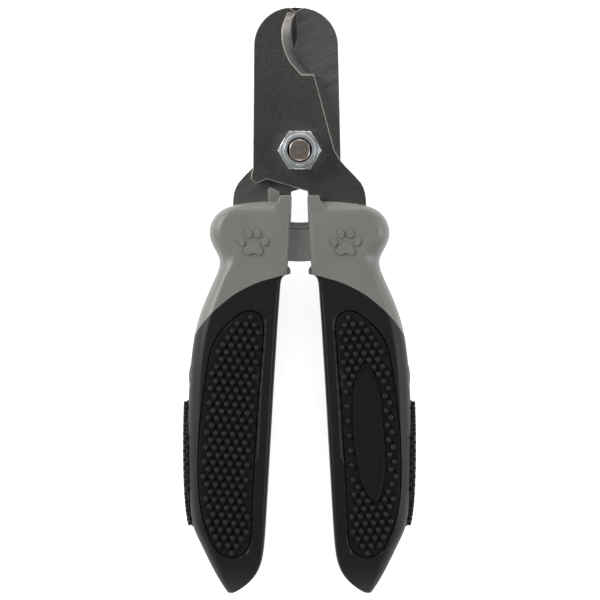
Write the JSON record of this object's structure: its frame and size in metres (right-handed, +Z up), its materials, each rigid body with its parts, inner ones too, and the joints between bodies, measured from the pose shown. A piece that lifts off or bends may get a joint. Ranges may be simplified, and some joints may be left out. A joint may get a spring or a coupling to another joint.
{
  "type": "scissor nail clipper",
  "caption": "Pet nail clipper with two crossed crescent-edged steel blades on a bolted pivot, rubber-gripped handles, a sleeved return spring and a swing-aside stop plate.",
  "frame": {"origin": "on the pivot axis, at the flat outer face of the bolt's head, in the plane the clipper rests on", "axes": "+Y from the handles to the jaws, +Z up along the pivot through the lock nut, +X towards the handle that carries the front blade"},
  "size_m": [0.0616, 0.1547, 0.0178],
  "materials": {
    "blade_steel": "fine diagonal brushing on dark stainless steel",
    "zinc": "bright bluish zinc plate",
    "bolt_steel": "turned steel with a pale gold chamfer",
    "grey_plastic": "fine satin grain",
    "sleeve_plastic": "satin",
    "grip_rubber": "soft matte",
    "pad_rubber": "soft matte with round nubs",
    "nylon": "dark, slightly glossy"
  },
  "bodies": {
    "right_half": {"front_blade": "blade_steel", "right_front_shell": "grey_plastic", "right_back_shell": "grey_plastic", "right_grip": "grip_rubber", "right_front_pad": "pad_rubber", "right_back_pad": "pad_rubber", "right_side_pad": "pad_rubber", "pivot_bolt": "bolt_steel", "lock_nut": "zinc", "nut_insert": "nylon", "friction_washer": "nylon", "wave_washer": "zinc", "outer_spring_sleeve": "sleeve_plastic", "return_spring": "zinc"},
    "left_half": {"rear_blade": "blade_steel", "left_front_shell": "grey_plastic", "left_back_shell": "grey_plastic", "left_grip": "grip_rubber", "left_front_pad": "pad_rubber", "left_back_pad": "pad_rubber", "left_side_pad": "pad_rubber", "inner_spring_sleeve": "sleeve_plastic"},
    "guard": {"nail_guard": "blade_steel"}
  },
  "joints": [
    {"name": "handle_pivot", "type": "hinge", "parent": "right_half", "child": "left_half", "pos_m": [0, 0, 0.0086], "axis": [0, 0, -1], "range_deg": [-8, 11.5], "stiffness_Nm_per_rad": 7, "deforming": ["return_spring"]},
    {"name": "guard_swivel", "type": "hinge", "parent": "right_half", "child": "guard", "pos_m": [0, 0, 0.0045], "axis": [0, 0, -1], "range_deg": [0, 90]}
  ]
}
